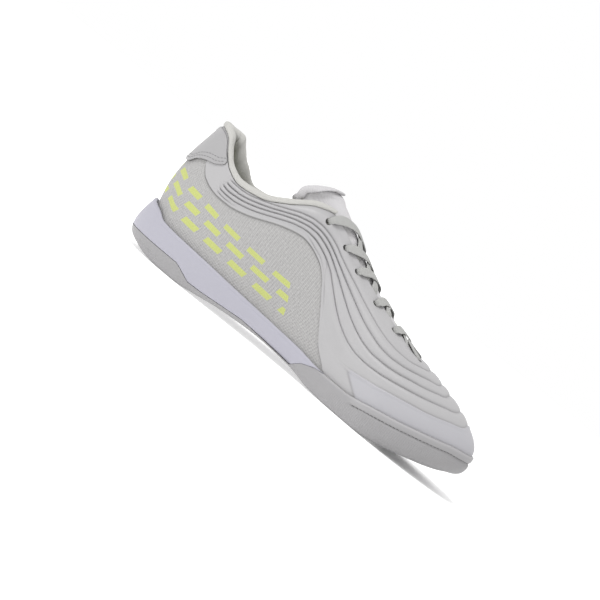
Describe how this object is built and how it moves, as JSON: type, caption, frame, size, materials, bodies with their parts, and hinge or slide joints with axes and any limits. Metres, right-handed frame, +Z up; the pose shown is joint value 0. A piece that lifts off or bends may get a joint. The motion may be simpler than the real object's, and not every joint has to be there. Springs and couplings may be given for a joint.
{
  "type": "indoor soccer shoe",
  "caption": "Left low-cut indoor soccer shoe with a ribbed upper, mesh quarter, flat laces, foam midsole wedge and flat rubber cup sole.",
  "frame": {"origin": "middle of the shoe's outline, on the ground plane", "axes": "+X to the toe, +Y to the outer side of the foot, +Z up"},
  "size_m": [0.297, 0.1, 0.1208],
  "materials": {
    "sole_rubber": "matt grey rubber",
    "foam": "moulded foam, satin",
    "upper_skin": "synthetic skin with moulded ribs, mesh quarter",
    "footbed_cloth": "smooth cloth over foam",
    "tongue_cloth": "soft knit",
    "collar_knit": "soft cream knit",
    "tab_skin": "smooth synthetic",
    "lace_weave": "flat woven polyester"
  },
  "bodies": {
    "root": {"outsole": "sole_rubber", "midsole": "foam", "upper": "upper_skin", "insole": "footbed_cloth", "tongue": "tongue_cloth", "collar_roll": "collar_knit", "heel_tab": "tab_skin", "lace_crossing_1": "lace_weave", "lace_crossing_2": "lace_weave", "lace_crossing_3": "lace_weave", "lace_crossing_4": "lace_weave", "lace_crossing_5": "lace_weave", "lace_bar": "lace_weave"}
  },
  "joints": []
}
